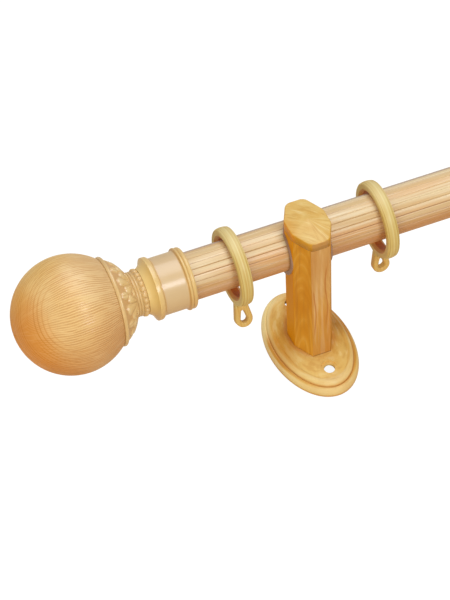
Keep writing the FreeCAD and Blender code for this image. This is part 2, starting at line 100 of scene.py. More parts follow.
# ---------------------------------------------------------------- sizes: post cap
CAP_RISE = 2.2 * MM
CAP_SIDE = 5.5 * MM
CAP_RIM_Z = CAP_HIGH.z - CAP_RISE
CAP_FOOT_Z = CAP_RIM_Z - CAP_SIDE
CAP_HALF = ((CAP_HIGH.x - CAP_LOW.x) / 2, (CAP_HIGH.y - CAP_LOW.y) / 2)
CAP_FLAT = (5.75 * MM, 5.66 * MM)         # half lengths of its sides along x and along y
CAP_ROUND = 5.0 * MM
CAP_EDGE = 0.9 * MM
CORNER_STEPS = 6
EDGE_STEPS = 6
CAP_SPIGOT_R = 3.5 * MM
CAP_SPIGOT_Y = -11.6 * MM
CAP_SPIGOT_SINK = 1.0 * MM
CAP_SPIGOT_FACETS = 48

# ---------------------------------------------------------------- sizes: finial cup
STUD_HOLE_R = 3.1 * MM
CUP_SPIGOT_R = 8.0 * MM
CUP_SPIGOT_L = 4.0 * MM
CUP_FACETS = 480
NECK_START = COLLAR_HIGH.x
NECK_R = 12.4 * MM
PEARLS = 24
PEARL_R = 1.7 * MM
PEARL_ROW_R = 12.35 * MM
PEARL_SEAT_R = 12.9 * MM
PEARL_SEGMENTS = 24
PEARL_ROUNDS = 14
NECK_BEAD_R = 13.1 * MM
NECK_BEAD_HALF = 0.8 * MM
BEAD_STEPS = 8
BELL_START = NECK_START + 2 * PEARL_R + 4 * NECK_BEAD_HALF
BELL_END = NECK_START + 17.3 * MM
CUP_EDGE_R = 24.2 * MM
BELL_SLOPE = (CUP_EDGE_R - NECK_R) / (BELL_END - BELL_START)
BELL_BOW = 1.3 * MM
BELL_STEPS = 72
RIM_BOW = 1.3 * MM
RIM_STEPS = 12
SEAT_R = BALL_R + 0.1 * MM
SEAT_STEPS = 12

# ---------------------------------------------------------------- sizes: the cup's carving
PALMETTES = 8
PALMETTE_TURN = 0.425                     # turn of the first palmette's middle
PETALS = 5
PETAL_FAN = 2.8                           # radians from the first petal's edge to the last one's
FAN_ROOT = 1.0 * MM                       # a fan opens from this far before the bell
SIDE_PETAL = 6.0 * MM
MIDDLE_PETAL_MORE = 9.2 * MM
BUD_PLACE = 11.6 * MM
BUD_HALF = (2.7 * MM, 4.2 * MM)
RELIEF = 1.1 * MM
RELIEF_LEVEL = 0.42                       # height in the carving that stays on the bell

# ---------------------------------------------------------------- sizes: finial ball
BALL_FACETS = 800
BALL_STEPS = 118
STUD_HOLE_END = BALL_X - 8.2 * MM
PORE_LINES = 156
PORE_DRIFT = 2.2                          # lines that a row of pores strays to the side
PORE_DASHES = 130                         # to a metre of a row
PORE_DEPTH = 0.14 * MM
SHEET_PITCH = 1.9 * MM
SHEET_WANDER = 8.0 * MM
SHEET_LEAN = (-0.66, 0.745)               # the way the sheets face, across and up
SHEET_DEPTH = 0.05 * MM

LINE_APART = 5.3                          # between the noise of two lines, so that they differ
BUMP_DEPTH = 0.2 * MM


def srgb(red, green, blue):
    """Linear colour from the 0 to 255 values that a colour card gives."""
    def linear(v):
        v /= 255
        return v / 12.92 if v <= 0.04045 else ((v + 0.055) / 1.055) ** 2.4
    return (linear(red), linear(green), linear(blue), 1.0)


# ---------------------------------------------------------------- arithmetic in node trees
class Flow:
    """A number on its way through a node tree; arithmetic on it adds Math nodes."""

    def __init__(self, tree, socket):
        self.tree = tree
        self.socket = socket

    def math(self, operation, *others):
        node = self.tree.nodes.new("ShaderNodeMath")
        node.operation = operation
        for socket, value in zip(node.inputs, (self, *others)):
            feed(self.tree, socket, value)
        return Flow(self.tree, node.outputs[0])

    def __add__(self, other):
        return self.math("ADD", other)

    def __sub__(self, other):
        return self.math("SUBTRACT", other)

    def __mul__(self, other):
        return self.math("MULTIPLY", other)

    def __truediv__(self, other):
        return self.math("DIVIDE", other)

    def __pow__(self, other):
        return self.math("POWER", other)

    def sin(self):
        return self.math("SINE")

    def cos(self):
        return self.math("COSINE")

    def abs(self):
        return self.math("ABSOLUTE")

    def sqrt(self):
        return self.math("SQRT")

    def floor(self):
        return self.math("FLOOR")

    def fract(self):
        return self.math("FRACT")

    def least(self, other):
        return self.math("MINIMUM", other)

    def most(self, other):
        return self.math("MAXIMUM", other)

    def rest(self):
        """What is left of one."""
        return self * -1.0 + 1.0

    def step(self, low, high, start=0.0, end=1.0):
        """Smooth change from start to end as the number goes from low to high."""
        node = self.tree.nodes.new("ShaderNodeMapRange")
        node.interpolation_type = "SMOOTHSTEP"
        for socket, value in zip(node.inputs, (self, low, high, start, end)):
            feed(self.tree, socket, value)
        return Flow(self.tree, node.outputs[0])


def feed(tree, socket, value):
    """Puts a Flow, a node's socket or a plain value on an input."""
    if isinstance(value, Flow):
        tree.links.new(value.socket, socket)
    elif isinstance(value, bpy.types.NodeSocket):
        tree.links.new(value, socket)
    else:
        socket.default_value = value


def vector(tree, x, y, z):
    node = tree.nodes.new("ShaderNodeCombineXYZ")
    for socket, value in zip(node.inputs, (x, y, z)):
        feed(tree, socket, value)
    return node.outputs[0]


def noise(tree, x, y, z, detail=2.0, rough=0.5, warp=0.0):
    """Soft noise around 0.5, with about one lump to each unit of the coordinates."""
    node = tree.nodes.new("ShaderNodeTexNoise")
    feed(tree, node.inputs["Vector"], vector(tree, x, y, z))
    node.inputs["Scale"].default_value = 1.0
    node.inputs["Detail"].default_value = detail
    node.inputs["Roughness"].default_value = rough
    node.inputs["Distortion"].default_value = warp
    return Flow(tree, node.outputs[0])


def round_axis(y, z, axis_z=POLE_AXIS.z):
    """Offsets across and up from a line along x, and the distance from it."""
    side = y - POLE_AXIS.y
    lift = z - axis_z
    return side, lift, (side * side + lift * lift).sqrt()


def underside(side, lift):
    """How far a point lies below the pole's axis, and a little to the front."""
    return side * -0.35 - lift * 0.94


# ---------------------------------------------------------------- grain and carving rules
def ball_grain(tree, x, y, z):
    """Open pores that run away from the cup, and growth sheets sliced by the turning."""
    along = x.abs() - BALL_X
    side = y - POLE_AXIS.y
    lift = z - POLE_AXIS.z
    drift = noise(tree, along * 45, side * 85, lift * 85, 1.0)
    lines = side.math("ARCTAN2", lift) * (PORE_LINES / (2 * math.pi)) + drift * PORE_DRIFT
    thin = (lines.fract() - 0.5).abs().step(0.42, 0.08)
    dash = noise(tree, lines.floor() * LINE_APART, along * PORE_DASHES, 0.5, 0.5)
    pores = thin * dash.step(0.34, 0.56, 0.3, 1.0) * along.step(36 * MM, 4 * MM, 0.25, 1.0)
    wander = noise(tree, along * 18, side * 18, lift * 18, 1.0)
    sheet = lift * SHEET_LEAN[1] + side * SHEET_LEAN[0]
    waves = ((sheet + wander * SHEET_WANDER) * (2 * math.pi / SHEET_PITCH)).sin() * 0.5 + 0.5
    shown_in = noise(tree, sheet * 260, along * 30, 0.7, 1.0)
    sheets = waves ** 6.0 * shown_in.step(0.3, 0.54) * (sheet / BALL_R).step(0.96, 0.7) \
        * along.step(-18 * MM, 6 * MM)
    return pores, sheets


def bell_carving(x, y, z):
    """Height of the palmettes and of the buds between them over the bell, from 0 to 1."""
    side, lift, radius = round_axis(y, z)
    turn = lift.math("ARCTAN2", side) / (2 * math.pi)
    run = (x.abs() - BELL_START) * math.hypot(1, BELL_SLOPE)
    pitch = radius * (2 * math.pi / PALMETTES)
    count = (turn - PALMETTE_TURN) * PALMETTES
    u = ((count + 0.5).fract() - 0.5) * pitch
    v = run + FAN_ROOT
    lean = u.math("ARCTAN2", v)
    place_in_fan = lean * (PETALS / PETAL_FAN)
    petal = (place_in_fan + 0.5).floor()
    off = (place_in_fan - petal).abs() * 2
    length = (petal * (PETAL_FAN / PETALS)).cos() ** 2.0 * MIDDLE_PETAL_MORE + SIDE_PETAL
    share = (u * u + v * v).sqrt() / length + off * off * 0.12
    inside = share.step(1.0, 0.86) * lean.abs().step(PETAL_FAN / 2, PETAL_FAN / 2 - 0.12)
    fan = inside * (off * off).rest().most(0.0).sqrt() * (share * 0.65 + 0.35)
    bud_u = (count.fract() - 0.5) * pitch / BUD_HALF[0]
    bud_v = (run - BUD_PLACE) / BUD_HALF[1]
    bud_reach = (bud_u * bud_u + bud_v * bud_v).sqrt()
    crease = bud_u.abs().step(0.22, 0.0) * bud_reach.step(0.9, 0.5)
    return fan.most(bud_reach.step(1.0, 0.5) * 0.8 - crease * 0.3)


# ---------------------------------------------------------------- finishes
class Finish:
    """A material in the making: object coordinates in metres, a shader, and its layers."""

    def __init__(self, name, **shader):
        self.material = bpy.data.materials.new(name)
        self.material.use_nodes = True
        self.tree = self.material.node_tree
        self.tree.nodes.clear()
        out = self.tree.nodes.new("ShaderNodeOutputMaterial")
        self.shader = self.tree.nodes.new("ShaderNodeBsdfPrincipled")
        self.tree.links.new(self.shader.outputs[0], out.inputs["Surface"])
        for socket, value in shader.items():
            label = socket.replace("_", " ").title().replace("Ior", "IOR")
            self.shader.inputs[label].default_value = value
        coordinates = self.tree.nodes.new("ShaderNodeTexCoord")
        split = self.tree.nodes.new("ShaderNodeSeparateXYZ")
        self.tree.links.new(coordinates.outputs["Object"], split.inputs[0])
        self.x, self.y, self.z = (Flow(self.tree, socket) for socket in split.outputs)

    def noise(self, x, y, z, detail=2.0, rough=0.5, warp=0.0):
        return noise(self.tree, x, y, z, detail, rough, warp)

    def mix(self, share, one, two):
        node = self.tree.nodes.new("ShaderNodeMix")
        node.data_type = "RGBA"
        share_in, one_in, two_in = (node.inputs[i] for i in (0, 6, 7))
        feed(self.tree, share_in, share)
        feed(self.tree, one_in, one)
        feed(self.tree, two_in, two)
        return node.outputs[2]

    def layered(self, ground, *layers):
        """A ground colour with layers over it, each a share and a colour."""
        for share, colour in layers:
            ground = self.mix(share, ground, colour)
        return ground

    def colour(self, value):
        feed(self.tree, self.shader.inputs["Base Color"], value)

    def roughness(self, value):
        feed(self.tree, self.shader.inputs["Roughness"], value)

    def bump(self, height, strength):
        node = self.tree.nodes.new("ShaderNodeBump")
        node.inputs["Strength"].default_value = strength
        node.inputs["Distance"].default_value = BUMP_DEPTH
        feed(self.tree, node.inputs["Height"], height)
        self.tree.links.new(node.outputs[0], self.shader.inputs["Normal"])

    def off_post(self):
        """Distance outward from the nearer post's middle, alike on both brackets."""
        return self.x.abs() + POST_X


def pole_film():
    """Wood-look film on the fluted pole: cream, peach and honey streaks, soft flute lines of
    painted shade with a painted highlight below them, painted shade on the underside, a painted
    lighter top and a painted reflection along the upper back edge.
    """
    film = Finish("pole_film", roughness=0.42, specular_ior_level=0.3, coat_weight=0.3,
                  coat_roughness=0.25)
    side, lift, radius = round_axis(film.y, film.z)
    turn = lift.math("ARCTAN2", side) / (2 * math.pi)
    broad = film.noise(film.x * 6, side * 190, lift * 190, 2.0, 0.6)
    patches = film.noise(film.x * 9, side * 120, lift * 120, 1.0)
    fine = film.noise(film.x * 14, side * 1000, lift * 1000, 3.0, 0.65)
    flute = turn * FLUTES + 0.5
    spot = flute.fract() - 0.5
    strong = film.noise(flute.floor() * LINE_APART, film.x * 4, 0.5, 1.0).step(0.5, 0.66, 0.05, 0.7)
    lit_edge = spot.step(0.1, 0.14) * spot.step(0.26, 0.18) * strong
    # painted shade in the stronger flutes' grooves
    groove_shade = radius.step(POLE_R - 0.05 * MM, POLE_R - 0.26 * MM) * strong
    # painted shade on the underside, deeper and more orange lower down
    under_shade = underside(side, lift).step(-0.35 * POLE_R, 0.7 * POLE_R)
    # painted light: a paler band along the top
    lit_crown = turn.step(0.15, 0.18) * turn.step(0.34, 0.27)
    # painted reflection: a grey-lilac line along the upper back edge
    joint_and_edge_reflection = (turn - EDGE_REFLECTION_TURN).abs().step(0.045, 0.025)
    film.colour(film.layered(
        film.mix(broad.step(0.38, 0.62), srgb(215, 181, 128), srgb(233, 213, 173)),
        (patches.step(0.5, 0.68) * 0.7, srgb(219, 167, 110)),
        (fine.step(0.54, 0.7) * 0.5, srgb(202, 150, 94)),
        (fine.step(0.46, 0.3) * 0.65, srgb(246, 230, 200)),
        (lit_edge * 0.4, srgb(244, 226, 190)),
        (groove_shade, srgb(168, 118, 76)),
        (under_shade * 0.76, srgb(193, 125, 62)),
        (lit_crown * 0.2, srgb(246, 226, 180)),
        (joint_and_edge_reflection * 0.6, srgb(160, 146, 146))))
    film.bump(fine, 0.15)
    return film.material


def ball_wood():
    """Turned ball in honey lacquer, with painted shade next to the cup, orange at its outer end and
    underside and low at the front, and painted light on its far top.
    """
    wood = Finish("ball_wood", specular_ior_level=0.42)
    pores, sheets = ball_grain(wood.tree, wood.x, wood.y, wood.z)
    cloud = wood.noise(wood.x * 26, wood.y * 26, wood.z * 26)
    out = (wood.x.abs() - BALL_X) / BALL_R
    back = (wood.y - POLE_AXIS.y) / BALL_R
    up = (wood.z - POLE_AXIS.z) / BALL_R

    def facing(along, across, upward):
        return out * along + back * across + up * upward

    # painted shade and light, set by which way the surface faces
    outward = facing(0.82, -0.1, -0.56).step(0.05, 0.8)
    low_front_shade = facing(-0.36, -0.75, -0.55).step(0.12, 0.9)
    far_top_light = facing(0.48, 0.72, 0.48).step(0.45, 0.95)
    between_lines = pores.step(0.3, 0.0) * sheets.step(0.5, 0.0)
    wood.colour(wood.layered(
        wood.mix(cloud.step(0.35, 0.65), srgb(234, 193, 128), srgb(243, 213, 158)),
        # painted shade next to the cup, at the outer end and low at the front; painted light on the
        # far top
        (out.step(0.02, -0.5) * 0.5, srgb(206, 162, 104)),
        (outward, srgb(222, 138, 22)),
        (out.step(0.4, 0.95) * 0.8, srgb(234, 144, 6)),
        (low_front_shade * 0.5, srgb(200, 134, 78)),
        (far_top_light * 0.34, srgb(255, 208, 80)),
        (sheets * 0.4, srgb(192, 120, 34)),
        (pores * 0.46, srgb(188, 122, 56)),
        (between_lines * 0.22, srgb(250, 220, 160))))
    wood.roughness(sheets.step(0.0, 1.0, 0.28, 0.4))
    return wood.material


def post_wood():
    """Post: orange honey, growth rings drawn out into tall arches, front face painted paler for the
    light on it; painted shade at the front's foot and on the outer face.
    """
    wood = Finish("post_wood", roughness=0.46, specular_ior_level=0.1)
    across, y, z = wood.off_post(), wood.y, wood.z
    front = y.step(POST_LOW.y + 0.6 * MM, POST_LOW.y + 0.2 * MM)
    wander = wood.noise(across * 60, y * 60, z * 30)
    bend = wood.noise(across * 25, y * 25, z * 25, 1.0)
    fine = wood.noise(across * 700, y * 700, z * 20, 3.0, 0.6)
    face = (across - CHAMFER_MIDDLE[0]) * 0.45 + (y - CHAMFER_MIDDLE[1]) * 0.89
    arches = z + face * face * 420 + (bend - 0.5) * (50 * MM)
    rings = (arches * (2 * math.pi / ARCH_PITCH)).sin() * 0.5 + 0.5
    between_rings = rings.rest() ** 8.0 * wander.step(0.4, 0.62)

    def vein(place, waves, sway, width, low, high):
        """Wavy line up the front face, faded in and out over two stretches of height."""
        line = (across - place + waves.sin() * sway).abs().step(width, 0.15 * MM)
        return line * front * z.step(*high) * z.step(*low)

    inner_vein = vein(-3.2 * MM, z * 160, 0.7 * MM, 0.55 * MM, (30 * MM, 45 * MM),
                      (85 * MM, 78 * MM))
    outer_vein = vein(4.0 * MM, z * 150 + 1.0, 0.6 * MM, 0.6 * MM, (24 * MM, 34 * MM),
                      (70 * MM, 60 * MM))
    vein_brown = srgb(184, 104, 44)
    # painted contact shade along the front face's foot, where it meets the plate
    foot_line_shade = front * z.step(POST_LOW.z + 2.3 * MM, POST_LOW.z + 1.8 * MM)
    wood.colour(wood.layered(
        wood.mix(wander.step(0.36, 0.64), srgb(220, 148, 34), srgb(230, 166, 56)),
        (rings ** 4.0 * 0.16, srgb(196, 118, 20)),
        (between_rings * 0.5, srgb(240, 190, 92)),
        # painted light: the front face paler, more so higher up
        (front * z.step(30 * MM, 75 * MM, 0.25, 0.66), srgb(206, 164, 112)),
        (fine.step(0.5, 0.64) * 0.32, srgb(192, 122, 50)),
        (fine.step(0.46, 0.36) * front * 0.35, srgb(236, 204, 156)),
        (inner_vein * 0.6, vein_brown),
        (outer_vein * 0.62, vein_brown),
        (foot_line_shade * 0.6, srgb(118, 74, 24)),
        # painted shade: the front face darker towards its foot, the outer face a deeper orange
        (front * z.step(55 * MM, 20 * MM) * 0.35, srgb(182, 122, 66)),
        (across.step(11.5 * MM, 11.8 * MM), srgb(230, 154, 0))))
    wood.bump(fine, 0.12)
    return wood.material


def cap_wood():
    """Cap: grain that spreads from its peak and runs on down the side, joint drawn dark; the sides
    and the top's outer part painted a deeper orange for shade, a painted highlight along the lower
    edge.
    """
    wood = Finish("cap_wood", roughness=0.36, specular_ior_level=0.44)
    across, y, z = wood.off_post(), wood.y, wood.z
    turn = y.math("ARCTAN2", across)
    reach = (across * across + y * y).sqrt()
    cloud = wood.noise(across * 90, y * 90, z * 30)
    rays = wood.noise(turn.sin() * 9, turn.cos() * 9, reach * 40, 3.0, 0.6)
    flow = wood.noise((across - y) * 420, (across + y) * 60, z * 30, 3.0, 0.6, 0.4)
    fan = ((across + y) / reach.most(1 * MM)).step(-0.85, -1.1)
    grain = rays * fan + flow * fan.rest()
    top = wood.layered(
        wood.mix(cloud.step(0.3, 0.7), srgb(219, 172, 82), srgb(228, 192, 112)),
        (grain.step(0.52, 0.64) * 0.5, srgb(200, 148, 58)),
        (grain.step(0.46, 0.3) * 0.55, srgb(244, 222, 158)),
        # painted shade: the top deeper orange towards its outer side
        (across.step(6.5 * MM, 11.5 * MM) * 0.5, srgb(220, 158, 56)))
    front = y.step(POST_LOW.y + 0.6 * MM, POST_LOW.y + 0.1 * MM)
    # painted highlight along the lower edge of the sides
    lit_lip = z.step(CAP_FOOT_Z + 1.0 * MM, CAP_FOOT_Z + 0.7 * MM)
    side = wood.layered(
        # the side faces painted as lit and shaded copies of the wood: greyer on the front, deeper
        # orange on the chamfers, deepest on the outer side
        wood.mix(front, srgb(214, 152, 24), srgb(198, 144, 72)),
        (across.step(10.5 * MM, 11.8 * MM), srgb(232, 150, 6)),
        (cloud.step(0.4, 0.65) * 0.2, srgb(226, 170, 72)),
        (lit_lip * 0.25, srgb(240, 196, 110)))
    below_rim = z.step(CAP_RIM_Z - 0.05 * MM, CAP_RIM_Z - 0.6 * MM)
    joint_and_edge_reflection = z.step(CAP_FOOT_Z + 0.45 * MM, CAP_FOOT_Z + 0.2 * MM)
    wood.colour(wood.layered(top, (below_rim, side), (joint_and_edge_reflection * 0.6, srgb(150, 88, 30))))
    wood.bump(grain, 0.12)
    return wood.material


def plate_moulding():
    """Wall plate: pale honey wood look, streaks along the oval; painted shade round the post's foot
    and deeper in the grooves, painted light on the rolls.
    """
    plate = Finish("plate_moulding", roughness=0.42, specular_ior_level=0.12)
    across, y, z = plate.off_post(), plate.y, plate.z
    u, v = across / PLATE_HALF.x, y / PLATE_HALF.y
    oval = (u * u + v * v).sqrt()
    turn = v.math("ARCTAN2", u)
    wander = plate.noise(across * 34, y * 20, z * 34)
    around = plate.noise(oval * 17, turn.sin() * 2.2, turn.cos() * 2.2, 3.0, 0.55)
    lengthwise = plate.noise(oval * 11, turn.sin() * 3.0, turn.cos() * 3.0)
    crossing = plate.noise(turn.sin() * 26, turn.cos() * 26, oval * 3)
    on_rolls = oval.step(0.74, 0.82)
    bands = around * on_rolls + lengthwise * on_rolls.rest()
    # painted shade round the post's eight-sided foot, next to it, inward of it, in the grooves and
    # low on the rim's side
    foot = (across.abs() * 0.893 + y.abs() * 0.45).most(across.abs() + 1.3 * MM)
    foot_shade = foot.step(19.5 * MM, 13 * MM) * y.step(-20 * MM, -6 * MM, 0.14, 0.56)
    beside_shade = across.step(12 * MM, 19 * MM) * y.step(14 * MM, 4 * MM) \
        * y.step(-24 * MM, -8 * MM)
    inward = across.step(-11 * MM, -17 * MM) * y.step(-10 * MM, 3 * MM)
    near_end = y.step(-30 * MM, -40 * MM)
    # painted light on the far corner's rolls, where the painted shade of the grooves fades
    far_corner_light = across.step(0.0, 10 * MM) * y.step(6 * MM, 18 * MM)
    groove_shade = z.step(STEP_H - 1.2 * MM, GROOVE_H + 0.3 * MM) * oval.step(0.955, 0.93) \
        * (far_corner_light * -0.9 + 1.0)
    rim_side_shade = z.step(2.6 * MM, 0.6 * MM)
    # and painted highlights where the two rolls turn up
    step_roll_light = oval.step(0.8, 0.84) * oval.step(0.93, 0.9) * 0.3
    rim_roll_light = oval.step(0.95, 0.97) * z.step(0.8 * MM, 2.6 * MM) \
        * y.step(-45 * MM, -15 * MM, 0.12, 0.32) * across.step(-4 * MM, 10 * MM, 1.3, 2.2)
    plate.colour(plate.layered(
        plate.mix(wander.step(0.3, 0.7), srgb(230, 184, 92), srgb(242, 206, 126)),
        (bands.step(0.52, 0.66) * 0.34, srgb(212, 148, 56)),
        (bands.step(0.48, 0.36) * 0.5, srgb(248, 222, 156)),
        (crossing.step(0.54, 0.7) * 0.08, srgb(208, 134, 50)),
        (foot_shade, srgb(192, 112, 6)),
        (beside_shade * 0.5, srgb(208, 138, 8)),
        (inward * 0.6, srgb(156, 86, 0)),
        (near_end * 0.3, srgb(214, 182, 144)),
        (far_corner_light * oval.step(0.8, 0.9) * 0.85, srgb(254, 238, 176)),
        (step_roll_light.most(rim_roll_light), srgb(253, 232, 174)),
        (groove_shade.most(rim_side_shade) * 0.5, srgb(210, 134, 24))))
    plate.bump(bands, 0.1)
    return plate.material


def cream_moulding():
    """Lacquered peach-cream moulding of the collars, with ochre painted shade in its grooves and on
    its underside.
    """
    cream = Finish("cream_moulding", roughness=0.38, specular_ior_level=0.4, coat_weight=0.8,
                   coat_roughness=0.22)
    mottle = cream.noise(cream.x * 90, cream.y * 90, cream.z * 90)
    side, lift, radius = round_axis(cream.y, cream.z)
    far = cream.x.abs()
    bead = radius.step(BAND_R, BAND_R + 0.5 * MM)
    flare = far.step(FLARE_X, FLARE_X + 0.6 * MM)
    # painted shade on the underside
    under_shade = underside(side, lift).step(-2 * MM, 16 * MM) * 0.5
    band = far.step(FLANGE_X - 0.2 * MM, FLANGE_X - 1.0 * MM) \
        * far.step(BAND_X + 0.1 * MM, BAND_X + 0.9 * MM) * under_shade.rest()
    # painted shade in the grooves at the band's two ends
    flange_root_shade = (far - FLANGE_X).abs().step(0.7 * MM, 0.1 * MM)
    mouth_root_shade = (far - BAND_X).abs().step(0.7 * MM, 0.1 * MM)
    cream.colour(cream.layered(
        cream.mix(mottle.step(0.3, 0.7), srgb(218, 184, 124), srgb(223, 192, 134)),
        (bead * 0.5, srgb(236, 198, 122)),
        (flare * 0.95, srgb(238, 207, 134)),
        (under_shade, srgb(206, 148, 82)),
        (band * 0.6, srgb(218, 191, 154)),
        (flange_root_shade.most(mouth_root_shade) * 0.6, srgb(206, 150, 70))))
    return cream.material


def cup_lacquer():
    """The same cream over the carved cup, with painted shade in its hollows and painted highlights
    on its crests.
    """
    cream = Finish("cup_lacquer", roughness=0.32, coat_weight=0.8, coat_roughness=0.2)
    far = cream.x.abs()
    height = bell_carving(cream.x, cream.y, cream.z)
    on_bell = far.step(BELL_START + 0.3 * MM, BELL_START + 1.2 * MM) \
        * far.step(BELL_END + 0.2 * MM, BELL_END - 0.4 * MM)
    mottle = cream.noise(cream.x * 260, cream.y * 260, cream.z * 260)
    cream.colour(cream.layered(
        cream.mix(mottle, srgb(220, 182, 117), srgb(228, 194, 136)),
        # painted shade in the carving's hollows, painted highlights on its crests
        (height.step(0.45, 0.0) * on_bell * 0.5, srgb(198, 140, 74)),
        (height.step(0.6, 0.95) * on_bell * 0.5, srgb(246, 222, 164))))
    return cream.material


def ring_plastic():
    """Satin yellow-cream rings: fine lines round the outside, a painted highlight along the top,
    painted shade inside, on the opening's bevel and the inner face.
    """
    ring = Finish("ring_plastic", roughness=0.44, specular_ior_level=0.3, coat_weight=0.15,
                  coat_roughness=0.25)
    lift, radius = round_axis(ring.y, ring.z, RING_Z)[1:]
    far = ring.x.abs()
    off = (far - RING_PLACES[0]).abs()
    for place in RING_PLACES[1:]:
        off = off.least((far - place).abs())
    flow = ring.noise(ring.x * 650, ring.y * 22, ring.z * 22, 3.0, 0.6)
    side_line = off.step(2.2 * MM, 2.45 * MM) * off.step(2.95 * MM, 2.7 * MM)
    stripe = off.step(0.3 * MM, 0.7 * MM) * off.step(1.6 * MM, 1.2 * MM)
    # painted highlight along the top of each ring
    lit_crown = (lift / RING_R_OUT).step(0.7, 1.0)
    eye = radius.step(RING_R_OUT + 0.4 * MM, RING_R_OUT + 2.0 * MM)
    # painted shade inside each ring, on the opening's bevel and darker on the inner face
    mouth_r = RING_R_IN + RING_MOUTH
    mouth_shade = radius.step(mouth_r + 0.3 * MM, mouth_r - 0.2 * MM)
    bore_shade = radius.step(RING_R_IN + 0.5 * MM, RING_R_IN + 0.1 * MM)
    ring.colour(ring.layered(
        ring.mix(flow.step(0.36, 0.64), srgb(209, 178, 98), srgb(220, 201, 132)),
        (side_line * 0.65, srgb(182, 136, 58)),
        (stripe * 0.3, srgb(204, 158, 84)),
        (off.step(0.5 * MM, 0.1 * MM) * 0.3, srgb(240, 224, 170)),
        (lit_crown * 0.4, srgb(240, 224, 168)),
        (eye * 0.6, srgb(226, 178, 96)),
        (mouth_shade * 0.7, srgb(208, 136, 48)),
        (bore_shade * 0.9, srgb(196, 104, 16))))
    return ring.material


def liner_plastic():
    """Lilac-brown snap-in liner of the cradle."""
    liner = Finish("liner_plastic", roughness=0.4)
    speckle = liner.noise(liner.x * 900, liner.y * 900, liner.z * 900)
    liner.colour(liner.mix(speckle, srgb(146, 112, 92), srgb(176, 146, 130)))
    return liner.material


def plug_plastic():
    """Pale moulded plug inside the pole's end."""
    plug = Finish("plug_plastic", roughness=0.5)
    speckle = plug.noise(plug.x * 700, plug.y * 700, plug.z * 700)
    plug.colour(plug.mix(speckle, srgb(208, 202, 188), srgb(224, 219, 207)))
    return plug.material


def zinc_steel():
    """Bright zinc on studs and screws, with faint lathe marks."""
    zinc = Finish("zinc_steel", metallic=1.0)
    marks = zinc.noise(zinc.x * 2400, zinc.y * 400, zinc.z * 2400)
    zinc.colour(zinc.mix(marks, srgb(176, 178, 176), srgb(206, 208, 206)))
    zinc.roughness(marks.step(0.3, 0.7, 0.22, 0.36))
    return zinc.material


# ---------------------------------------------------------------- meshes
def placed(name, mesh):
    """Object at the origin that shows a mesh."""
    made = bpy.data.objects.new(name, mesh)
    bpy.context.scene.collection.objects.link(made)
    return made


def closed_piece(name, work, material):
    """Piece from a closed bmesh, its faces turned outward."""
    bmesh.ops.recalc_face_normals(work, faces=work.faces)
    mesh = bpy.data.meshes.new(name)
    mesh.materials.append(material)
    work.to_mesh(mesh)
    work.free()
    return placed(name, mesh)


def on_pole(x, r, angle):
    """Point at radius r round the pole's axis."""
    return Vector((x, POLE_AXIS.y + r * math.cos(angle), POLE_AXIS.z + r * math.sin(angle)))


def arc(start, end, bow, steps):
    """Points after start up to end, along a curve that stands off the chord by bow."""
    (x0, r0), (x1, r1) = start, end
    chord = math.hypot(x1 - x0, r1 - r0)
    out = (-(r1 - r0) / chord, (x1 - x0) / chord)
    points = []
    for i in range(1, steps + 1):
        t = i / steps
        off = 4 * bow * t * (1 - t)
        points.append((x0 + (x1 - x0) * t + out[0] * off, r0 + (r1 - r0) * t + out[1] * off))
    return points


def neck_bead(x):
    """Points over a rounded bead of the neck, from its near foot to its far one."""
    points = []
    for i in range(1, BEAD_STEPS + 1):
        angle = math.pi * (1 - i / BEAD_STEPS)
        points.append((x + NECK_BEAD_HALF * math.cos(angle),
                       NECK_R + (NECK_BEAD_R - NECK_R) * math.sin(angle)))
    return points


def turned_piece(name, profile, material, mirror, facets):
    """Closed ring of a profile, x along the pole and r from its axis, on one end of the rod."""
    work = bmesh.new()
    rows = []
    for i in range(facets):
        angle = 2 * math.pi * i / facets
        rows.append([work.verts.new(on_pole(mirror * x, r, angle)) for x, r in profile])
    count = len(profile)
    for i, row in enumerate(rows):
        after = rows[(i + 1) % facets]
        for j in range(count):
            k = (j + 1) % count
            work.faces.new((row[j], row[k], after[k], after[j])).smooth = True
    bmesh.ops.remove_doubles(work, verts=work.verts, dist=0.001 * MM)
    return closed_piece(name, work, material)


def cup_profile():
    """Spigot, neck with its pearl seat and twin beads, bell, rim bead and the ball's seat."""
    spigot_end = NECK_START - CUP_SPIGOT_L
    pearls_end = NECK_START + 2 * PEARL_R
    rim_r = math.sqrt(SEAT_R ** 2 - (BALL_X - CUP_RIM_X) ** 2)
    points = [(spigot_end, STUD_HOLE_R), (spigot_end, CUP_SPIGOT_R), (NECK_START, CUP_SPIGOT_R),
              (NECK_START, PEARL_SEAT_R), (pearls_end, PEARL_SEAT_R), (pearls_end, NECK_R)]
    points += neck_bead(pearls_end + NECK_BEAD_HALF)
    points += neck_bead(pearls_end + 3 * NECK_BEAD_HALF)
    points += arc((BELL_START, NECK_R), (BELL_END, CUP_EDGE_R), BELL_BOW, BELL_STEPS)
    points += arc((BELL_END, CUP_EDGE_R), (CUP_RIM_X, rim_r), RIM_BOW, RIM_STEPS)
    first = math.asin(rim_r / SEAT_R)
    last = math.asin(STUD_HOLE_R / SEAT_R)
    for i in range(1, SEAT_STEPS + 1):
        angle = first + (last - first) * i / SEAT_STEPS
        points.append((BALL_X - SEAT_R * math.cos(angle), SEAT_R * math.sin(angle)))
    return points


def ball_profile():
    """Half outline of the ball from its outer pole to the stud's hole, and the hole."""
    sweep = math.pi - math.asin(STUD_HOLE_R / BALL_R)
    points = []
    for i in range(BALL_STEPS + 1):
        angle = sweep * i / BALL_STEPS
        points.append((BALL_X + BALL_R * math.cos(angle), BALL_R * math.sin(angle)))
    return points + [(STUD_HOLE_END, STUD_HOLE_R), (STUD_HOLE_END, 0.0)]


